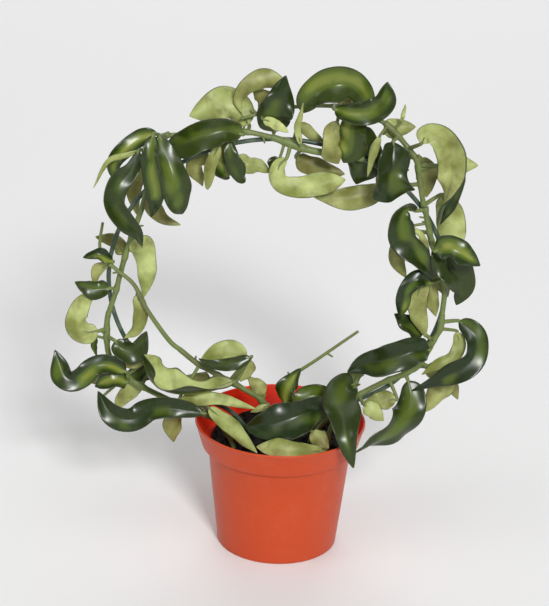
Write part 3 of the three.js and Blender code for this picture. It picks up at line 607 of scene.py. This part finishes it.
def add_blade(bm, spec, chance):
    width, midrib, rolls, cup, fold, tone, belly = spec
    run, length = run_through(midrib, MIDRIB_STEPS)
    seat = bm.loops.layers.uv["seat"]
    nature = bm.loops.layers.uv["nature"]
    flesh = bm.verts.layers.deform.verify()
    made = bmesh.ops.create_grid(bm, x_segments=ACROSS, y_segments=ALONG, size=1)["verts"]
    on_leaf = {vert: (vert.co.x, ((vert.co.y + 1) / 2) ** ROW_CROWDING) for vert in made}
    for vert, (side, t) in on_leaf.items():
        t = min(t, 1)
        centre, edgeward, glossy = stand(run, rolls, t)
        chop = Vector((RUFFLE_BEATS * t + midrib[0].x, math.copysign(RUFFLE_APART, side), midrib[0].z))
        half = width / 2 * outline(t, belly) * (1 + RUFFLE * noise.noise(chop))
        open_up = min(1, t / SHOULDER)
        half_fold = math.radians((fold + CREASE) / 2) * open_up
        across, rise = section(side, half_fold, math.radians(cup / 2) * open_up)
        bend = bend_at(run, length, t).dot(edgeward)
        offset = across * half
        if bend * offset > 0:
            offset = (1 - math.exp(-bend * offset)) / bend
        wave = math.sin(2 * math.pi * WAVES * t + midrib[0].x + (WAVE_STAGGER if across > 0 else 0))
        lift = (rise + WAVE_DEPTH * across ** 2 * wave * open_up) * half
        spot = centre + edgeward * offset + glossy * lift
        spot += glossy * noise.noise(spot / RUMPLE_SIZE) * RUMPLE * open_up
        vert.co = spot * MM
        vert[flesh][0] = (1 - 0.55 * abs(side) ** 3) * (0.45 + 0.55 * min(1, (1 - t) * 5))
    for face in {face for vert in made for face in vert.link_faces}:
        for loop in face.loops:
            loop[seat].uv = on_leaf[loop.vert]
            loop[nature].uv = (tone, chance)


def add_stalk(canes, spec, stem):
    """The stalk leaves the stem, joins the blade and runs on as the thick start of its midrib."""
    width, midrib, rolls = spec[:3]
    run, length = run_through(midrib, MIDRIB_STEPS)
    root = min(stem, key=lambda spot: (spot - midrib[0]).length)
    inward = (midrib[1] - midrib[0]).normalized()
    neck, _ = run_through([root, midrib[0] - inward * 0.8, midrib[0] + inward * 2], STALK_STEPS)
    stout = STALK_THIN + STALK_GAIN * min(width, STALK_STOUTEST)
    radii = [stout * (1.25 - 0.3 * k / STALK_STEPS) for k in range(STALK_STEPS + 1)]
    for k in range(1, RIDGE_STEPS + 1):
        t = 2 / length + 0.04 * k
        centre, _, glossy = stand(run, rolls, min(t, 0.9))
        neck.append(centre - glossy * RIDGE_SINK)
        radii.append(stout * (0.9 - 0.11 * k))
    add_cane(canes, neck, radii)
    return root


def grow(name, radius, tip, path, leaves):
    """One leafy length of vine: its stem, tapering to tip, and the leaves on it."""
    chances = random.Random(name)
    stem, _ = run_through([place(spot) for spot in path], STEM_STEPS)
    canes = bpy.data.curves.new(name + "_stem", "CURVE")
    roots = [add_stalk(canes, spec, stem) for spec in leaves]
    radii = []
    for k, spot in enumerate(stem):
        swell = sum(math.exp(-((spot - root).length / SWELLING_REACH) ** 2) for root in roots)
        radii.append(radius * (1 + (tip - 1) * (k / STEM_STEPS) ** 2) * (1 + SWELLING * min(swell, 1)))
    if tip == 1:
        stem = stem + [stem[-1] + (stem[-1] - stem[-2]).normalized() * STEM_JOIN]
        radii.append(radii[-1])
    add_cane(canes, stem, radii)
    for _ in range(SPURS):
        at = chances.randrange(STEM_STEPS // 3, STEM_STEPS - 6)
        onward = (stem[at + 1] - stem[at]).normalized()
        aside = onward.cross(Vector((chances.uniform(-1, 1), chances.uniform(-1, 1), 0.3))).normalized()
        spur = [stem[at] + (onward * 0.5 + aside) * reach for reach, _ in SPUR]
        add_cane(canes, spur, [thickness for _, thickness in SPUR])
    stems = finish_canes(canes, name + "_stem", green_bark)
    bm = bmesh.new()
    bm.loops.layers.uv.new("seat")
    bm.loops.layers.uv.new("nature")
    for spec in leaves:
        add_blade(bm, spec, chances.random())
    blades = finish_mesh(bm, name + "_leaves", waxed, pale, margin)
    blades.vertex_groups.new(name="flesh")
    thick = blades.modifiers.new("flesh", "SOLIDIFY")
    thick.thickness = LEAF_THICKNESS * MM
    thick.offset = 0
    thick.vertex_group = "flesh"
    thick.material_offset = 1
    thick.material_offset_rim = 2
    smooth = blades.modifiers.new("rounding", "SUBSURF")
    smooth.levels = smooth.render_levels = 1
    for piece in (stems, blades):
        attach(piece, "root")
        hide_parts(name)


# Left of the hoop: the oldest vine grows out of the soil at the left and climbs the wire, leaning on it.
# Its leaves crowd together at the foot and hang in long curls at the top.
grow("vine_left_low", 2, 1, [
    (-24, 60, 6), (-26, 76, 8), (-46, 92, 10), (-80, 106, 4), (-106, 120, 2), (-119, 135, 4), (-122, 147, 4),
    (-122, 163, 4), (-121.2, 168.6, 4),
], [
    leaf(19, [
        (-128, 156, 8), (-136, 155, 10), (-142, 161, 11), (-141, 171, 11), (-135, 180, 11), (-127, 184, 9),
    ], [180], 30, tone=0.9),
    leaf(5, [(-130, 151, 4), (-131, 144, 4), (-129, 137, 4)], [0], 20, tone=0.2),
    leaf(19, [
        (-108, 126, 14), (-118, 131, 17), (-129, 129, 20), (-139, 121, 22), (-149, 121, 22), (-157, 141, 16),
    ], [0], 30, tone=0.6, belly=0.6),
    leaf(12, [(-122, 122, -8), (-134, 121, -16), (-146, 122, -20)], [180], 30, tone=0.4),
    leaf(17, [(-108, 118, 10), (-118, 119, 13), (-130, 114, 11)], [20], 80, tone=0.9),
    leaf(20, [
        (-53, 97, 26), (-65, 99, 26), (-78, 100, 26), (-90, 98, 26), (-101, 91, 28), (-110, 91, 29),
        (-119, 97, 26), (-127, 111, 20),
    ], [0], 20, tone=0.2, belly=0.6),
    leaf(8, [(-126, 104, -2), (-124, 94, -2), (-118, 83, -2)], [180], tone=0.7),
    leaf(16, [(-92, 129, -8), (-101, 122, -6), (-108, 111, -8)], [0], 30, tone=0.1),
    leaf(8, [(-96, 134, 7), (-105, 132, 8), (-116, 134, 7)], [180], tone=0.4),
    leaf(13, [(-99, 117, -2), (-106, 111, -4), (-112, 104, -4), (-116, 95, -2)], [180], tone=0.7),
    leaf(19, [
        (-116, 149, 12), (-110, 143, 13), (-100, 144, 13), (-94, 157, 12),
    ], [0], 40, tone=0.05, belly=0.4),
])
grow("vine_left_mid", 1.9, 1, [
    (-121, 169.4, 4), (-116, 186, 5), (-113, 199, 5), (-108, 218, 6), (-101, 240, 4), (-99, 246, 4),
], [
    leaf(20, [(-103, 226, 6), (-97, 216, 6), (-95, 200, 4), (-97, 182, 3)], [180], 30, tone=1, belly=0.2),
    leaf(11, [(-111, 214, 1), (-118, 223, -7), (-131, 226, -6)], [180], 20, tone=0.2),
    leaf(14, [(-120, 188, 8), (-131, 187, 10), (-144, 192, 8)], [0], 30, tone=0.1),
])
grow("vine_left_top", 1.8, 1, [(-99, 246.5, 4), (-95, 262, 5), (-90, 282, 5), (-86, 297, 4), (-82, 300, 4)], [
    leaf(15, [
        (-88, 300, 2), (-99, 297, 4), (-110, 288, 8), (-117, 276, 8), (-113, 262, 4),
    ], [0, 10, -4], 40, tone=0.85),
    leaf(17, [
        (-100, 287, 18), (-104, 274, 25), (-112, 262, 32), (-115, 248, 35), (-108, 236, 33), (-100, 228, 28),
        (-97, 219, 23),
    ], [-5, -10, -10, -25, -30], 60, -10, tone=0.05, belly=0.55),
    leaf(15, [
        (-90, 298, 27), (-92, 286, 32), (-90, 270, 35), (-88, 254, 33), (-91, 240, 28),
    ], [10], 30, -10, tone=0.45, belly=0.5),
    leaf(21, [
        (-86, 297, 22), (-81, 283, 28), (-76, 268, 33), (-73, 255, 34), (-70, 243, 29),
    ], [-5, -15], 40, -10, tone=0.35, belly=0.68),
    leaf(13, [(-92, 266, 9), (-91, 252, 9), (-84, 241, 8), (-72, 236, 8)], [160], 20, tone=0),
    leaf(16, [(-98, 284, -6), (-104, 270, -16), (-106, 256, -20), (-103, 243, -16)], [180], 30, tone=0.4),
    leaf(4, [(-98, 288, 14), (-110, 284, 16), (-121, 279, 16), (-131, 260, 12)], [180], tone=0.9),
])

# Over the top: a thick stem comes along the wire from the left, and a thinner one arches over from the right.
# Both were led round the hoop while they grew. Their leaves hang down in front of the wire.
grow("vine_top_left", 1.8, 1, [(-80.5, 300, 4), (-60, 301, 3), (-45, 303, 3), (-29, 304, 4), (-13, 301, 5)], [
    leaf(29, [
        (-32, 302, 8), (-44, 304, 11), (-56, 301, 13), (-70, 295, 13), (-83, 291, 11),
    ], [-14], 70, 20, tone=0.35, belly=0.65),
    leaf(27, [
        (-28, 310, -7), (-38, 322, -9), (-52, 322, -9), (-68, 315, -8),
    ], [180], 30, tone=0.95, belly=0.5),
    leaf(13, [(-56, 288, -6), (-63, 280, -6), (-58, 265, -5)], [170], 30, tone=0.25),
    leaf(9, [(-47, 294, 10), (-52, 280, 13), (-54, 265, 12), (-54, 262, 6)], [180], 30, tone=0.5),
    leaf(14, [(-45, 293, 3), (-47, 282, 4), (-42, 273, 2), (-41, 273, -4)], [0], 40, tone=0.8),
    leaf(12, [(-41, 299, 9), (-38, 285, 12), (-32, 272, 11), (-29, 271, 5)], [0], -30, tone=0.1, belly=0.6),
    leaf(13, [(-36, 286, 4), (-28, 281, 4), (-20, 280, 4), (-12, 276, 4)], [180], 30, tone=0.8),
    leaf(13, [(-38, 299, -8), (-50, 297, -17), (-64, 294, -20)], [180], 30, tone=0.4),
])
grow("vine_over_top", 1.5, 0.7, [
    (63.3, 313.6, 2), (50, 319, 0), (32, 324.5, -2), (3, 323.4, -3), (-19, 318, -2), (-34, 313.5, -1),
], [
    leaf(16, [
        (-3, 331, -12), (-8, 338, -11), (-18, 341, -9), (-29, 337, -7), (-35, 327, -6), (-33, 318, -6),
    ], [140, 150, 155, 165, 170, 175], 20, tone=0.45),
    leaf(16, [(-9, 321, -20), (-15, 326, -22), (-20, 332, -22), (-26, 335, -20)], [180], tone=0),
    leaf(25, [(-11, 305, 4), (-11, 315, 7), (-8, 328, 8), (-4, 344, 6)], [0], -20, -20, tone=0.1, belly=0.2),
    leaf(8, [(-18, 313, 8), (-9, 309, 12), (-1, 304, 12)], [180], tone=0.9),
    leaf(26, [
        (51, 322, 5), (46, 332, 9), (38, 338, 12), (28, 337, 14), (19, 334, 13), (12, 328, 11), (8, 318, 9),
    ], [0], 40, tone=0.5, belly=0.74),
    leaf(21, [
        (29, 321, 14), (38, 318, 18), (50, 319, 18), (60, 327, 16), (63, 341, 14),
    ], [0, 0, 10], 60, tone=0.45, belly=0.7),
    leaf(10, [(44, 334, 2), (38, 332, 2), (31, 326, 2)], [180], tone=0),
    leaf(13, [(42, 324, -8), (36, 332, -16), (24, 334, -20), (12, 331, -18)], [180], 40, tone=0.4),
    leaf(15, [(31, 313, 12), (28, 304, 16), (28, 293, 17), (33, 283, 13)], [170], 20, tone=0.3, belly=0.68),
    leaf(22, [(41, 319, 10), (41, 307, 14), (40, 295, 14), (36, 284, 11)], [15], 0, -40, tone=0.8, belly=0.6),
    leaf(24, [(50, 312, -8), (51, 298, -5), (49, 282, -4), (46, 270, -5)], [0], -30, tone=0.05, belly=0.6),
])
grow("vine_top_mid", 2.4, 1, [
    (-12.5, 301, 5), (3, 296, 6), (10, 293.5, 6), (20, 291.5, 6), (38, 290, 6), (48, 288, 6),
], [
    leaf(18, [
        (-2, 286, 12), (-7, 279, 14), (-5, 269, 16), (6, 266, 16), (20, 268, 16), (38, 272, 14),
    ], [180], 25, tone=0.95, belly=0.75),
    leaf(7, [(-7, 286, 8), (-11, 283, 8), (-13, 277, 8)], [0], 20, tone=0),
    leaf(5, [(7, 296, 12), (5, 307, 18), (8, 324, 22)], [180], 20, tone=0.8),
    leaf(9, [(6, 312, -4), (13, 306, -4), (24, 298, -4)], [180], 20, tone=0.4),
    leaf(15, [(5, 288, -4), (14, 283, -5), (25, 280, -5), (38, 277, -4)], [180], 20, tone=0),
])

# Right of the hoop: a second vine grows out of the soil at the right and climbs the other side of the wire.
# It carries the broadest leaves, some of them rolled right round on themselves.
grow("vine_right_top", 1.8, 1, [
    (92.4, 255.6, 5), (91, 260, 5), (88, 275, 5), (86, 287, 5), (78, 298, 4), (70, 307.5, 3), (64, 313, 2),
], [
    leaf(18, [(64, 268, 2), (52, 262, 4), (36, 259, 6), (15, 261, 4)], [180], 20, tone=0.55),
    leaf(31, [
        (69, 300, 8), (68, 285, 14), (67, 270, 16), (69, 257, 14),
    ], [-24], 20, 20, tone=0.12, belly=0.72),
    leaf(6, [(60, 304, 8), (56, 292, 10), (53, 275, 8)], [180], tone=0.8),
    leaf(23, [
        (87, 299, 17), (91, 305, 19), (100, 301, 21), (106, 290, 23), (108, 277, 24), (107, 262, 22),
        (101, 243, 19),
    ], [180, 180, 185, 205, 240, 262, 270], 0, -70, tone=0.75),
    leaf(10, [(114, 284, 18), (112, 268, 19), (108, 254, 18), (103, 242, 15)], [0], tone=0.1, belly=0.3),
    leaf(17, [(103, 285, 2), (112, 286, 2), (127, 286, 2)], [180], 20, tone=0.75, belly=0.25),
    leaf(16, [(88, 290, 0), (93, 278, -2), (94, 262, -2)], [180], -60, tone=0.2),
    leaf(22, [
        (104, 264, -2), (111, 250, -2), (113, 234, -2), (112, 216, -2),
    ], [180], 40, tone=0.9, belly=0.45),
    leaf(15, [(63, 307, -2), (72, 311, -2), (84, 312, -2)], [180], 30, tone=0.6),
    leaf(3, [(74, 315, 4), (75, 320, 4), (76, 327, 4)], [180], tone=0.8),
    leaf(19, [(78, 290, -8), (70, 282, -17), (66, 270, -20), (68, 259, -18)], [180], 30, tone=0.4),
])
grow("vine_right_mid", 1.9, 1, [
    (109, 175, 4), (109, 200, 4), (99, 229, 5), (96, 241, 5), (93.8, 250, 5), (93.2, 253, 5),
], [
    leaf(21, [
        (86, 252, 8), (80, 254, 12), (76, 244, 14), (80, 230, 16), (90, 219, 16), (101, 202, 12),
    ], [-60, -20, 0, 0, 0], 40, tone=0.3),
    leaf(17, [(87, 237, -2), (79, 228, -1), (77, 215, 0), (83, 203, 0)], [180], 30, tone=0.35),
    leaf(5, [(84, 240, 6), (91, 234, 8), (98, 220, 8)], [180], tone=0.7),
    leaf(19, [(100, 223, 22), (110, 225, 26), (120, 220, 27), (131, 213, 26)], [0], 20, tone=0.6),
    leaf(24, [(104, 221, 6), (115, 212, 7), (122, 198, 8), (118, 184, 8)], [0], -30, tone=0.1),
    leaf(13, [(100, 225, 14), (105, 213, 18), (112, 203, 18), (121, 191, 14)], [-30], 0, -30, tone=0),
    leaf(14, [(100, 200, 8), (91, 202, 12), (83, 194, 14), (81, 182, 12), (80, 172, 8)], [0], 20, tone=0.6),
    leaf(17, [(94, 201, 6), (91, 185, 8), (98, 159, 8)], [180], 20, tone=0.55),
    leaf(12, [(98, 200, 2), (101, 189, 2), (105, 175, 2)], [180], 20, tone=0.5),
    leaf(16, [(100, 212, -6), (108, 202, -14), (114, 190, -17)], [180], 30, tone=0.4),
])
grow("vine_right_low", 2, 1, [
    (20, 60, 8), (22, 78, 8), (34, 96, 8), (52, 112, 6), (71, 124, 4), (89, 133, 4), (98, 143, 4),
    (103, 155, 4), (108, 165, 4), (109, 174.5, 4),
], [
    leaf(18, [(97, 162, 2), (86, 168, 3), (76, 176, 4)], [20], 30, tone=0.3),
    leaf(27, [
        (101, 150, 12), (91, 149, 19), (79, 144, 22), (68, 140, 22), (57, 138, 20), (45, 131, 18),
    ], [0], 0, 40, tone=0.1, belly=0.45),
    leaf(20, [
        (121, 172, 0), (127, 168, 2), (133, 160, 5), (133, 149, 8), (129, 141, 11), (119, 134, 13),
        (108, 128, 14), (91, 119, 13),
    ], [0, -10, -20, -30], 20, tone=0.1),
    leaf(11, [(120, 164, 0), (122, 155, 2), (118, 145, 6), (107, 138, 8), (97, 131, 8)], [180], tone=0.8),
    leaf(24, [
        (88, 126, 6), (91, 114, 12), (88, 100, 22), (78, 88, 30), (64, 79, 38), (51, 71, 44),
    ], [0, 0, -30, -70, -90], 0, -50, tone=0.2),
    leaf(13, [(58, 107, 16), (65, 102, 18), (72, 95, 16)], [180], 20, tone=1),
    leaf(14, [(80, 112, 10), (70, 110, 11), (56, 107, 8)], [180], 20, tone=0.5),
    leaf(15, [(101, 136, -10), (111, 131, -12), (120, 122, -12), (125, 112, -10)], [180], 20, tone=0.2),
    leaf(15, [(119, 128, -4), (112, 119, -4), (106, 110, -4), (100, 101, -4)], [180], 20, tone=0.5),
    leaf(15, [(88, 142, 2), (76, 141, -6), (62, 138, -10), (50, 135, -8)], [180], 30, tone=0.4),
])

# Shoots in the pot: a leafy one that hangs over the front of the rim, a bare one that leans out of the middle
# and a small one at the left. They root in the soil, and the wire doesn't carry them.
grow("shoot_front", 1.8, 0.8, [(30, 60, 26), (32, 74, 26), (36, 90, 18), (48, 112, 10), (54, 130, 6)], [
    leaf(25, [
        (50, 122, 11), (44, 121, 18), (41, 111, 30), (43, 99, 40), (46, 82, 52), (51, 61, 57),
    ], [0], 45, -12, tone=0.1),
    leaf(29, [
        (34, 104, 18), (22, 102, 29), (6, 95, 36), (-10, 90, 38), (-24, 88, 34),
    ], [0], 30, tone=0.1, belly=0.58),
    leaf(19, [(34, 108, 8), (25, 113, 11), (11, 108, 14), (5, 105, 12)], [0], -30, tone=0.3),
    leaf(16, [(30, 72, 42), (16, 72, 48), (0, 73, 50), (-16, 74, 46)], [180], tone=0.85, belly=0.6),
    leaf(13, [(22, 86, 34), (28, 80, 38), (34, 74, 40)], [180], tone=0.2),
    leaf(8, [(56, 129, 0), (50, 128, 3), (44, 121, 4)], [180], tone=0.5),
])
grow("shoot_centre", 1.3, 0.75, [
    (3, 60, 8), (3, 84, 8), (2, 106, 8), (4, 118, 2), (9.5, 128, 0), (24, 139.5, 0), (52, 162, 0),
], [
    leaf(16, [(3, 107, 12), (5, 119, 14), (13, 133, 12)], [-20], 30, tone=1),
])
grow("shoot_left", 1.6, 0.8, [(-30, 60, 20), (-34, 76, 20), (-50, 98, 16), (-62, 103, 10)], [
    leaf(18, [(-62, 102, 14), (-70, 97, 16), (-74, 88, 16), (-74, 73, 14)], [150], tone=0.1),
    leaf(12, [(-50, 101, 22), (-40, 93, 28), (-28, 82, 36), (-15, 69, 46)], [180], 20, tone=0.95),
])

# Young vine: a slim stem grows from the middle of the pot across to the left side of the hoop.
# It lies against the older vine there and ends in a tip with small leaves.
grow("young_vine_low", 1.9, 1, [
    (-4, 60, -4), (-6, 82, 0), (-12, 105, 6), (-27, 116, 8), (-45, 126, 8), (-59, 134, 8), (-70, 143, 8),
], [
    leaf(34, [
        (-33, 121, 21), (-50, 114, 24), (-68, 111, 25), (-82, 114, 24), (-92, 124, 21), (-96, 140, 19),
    ], [-114], -30, -80, tone=0.95, belly=0.88),
    leaf(18, [(-26, 138, 12), (-33, 143, 13), (-45, 143, 13), (-56, 138, 12)], [180], 30, tone=0.9),
    leaf(10, [(-22, 140, 17), (-34, 135, 20), (-48, 134, 20), (-58, 138, 17)], [0], 20, tone=0.1),
    leaf(12, [(-23, 138, 2), (-25, 130, 3), (-29, 121, 3)], [180], tone=0.5),
    leaf(10, [
        (-70, 107, 20), (-60, 107, 22), (-44, 108, 22), (-30, 105, 20), (-17, 101, 18),
    ], [180], tone=0.95),
    leaf(11, [(-12, 112, 2), (-17, 118, 2), (-24, 125, 2)], [180], tone=0.3),
    leaf(5, [(-9, 104, 11), (-15, 101, 13), (-21, 98, 13)], [180], tone=0.7),
    leaf(14, [(-50, 122, -6), (-64, 118, -15), (-80, 118, -19)], [180], 30, tone=0.4),
])
grow("young_vine_tip", 1.7, 0.55, [
    (-70.4, 143.4, 8), (-79, 151, 8), (-94, 173, 10), (-103, 191, 10), (-114, 201, 10), (-124, 210, 8),
    (-127, 220, 6), (-125, 236, 6),
], [
    leaf(10, [(-118, 208, 10), (-127, 212, 12), (-138, 210, 12)], [20], 50, tone=0.7),
    leaf(9, [(-122, 206, 6), (-128, 200, 6), (-131, 190, 4)], [150], 40, tone=0.2),
    leaf(12, [(-101, 184, 8), (-99, 172, 7), (-102, 158, 7), (-110, 151, 7)], [180], 30, tone=0.7),
])
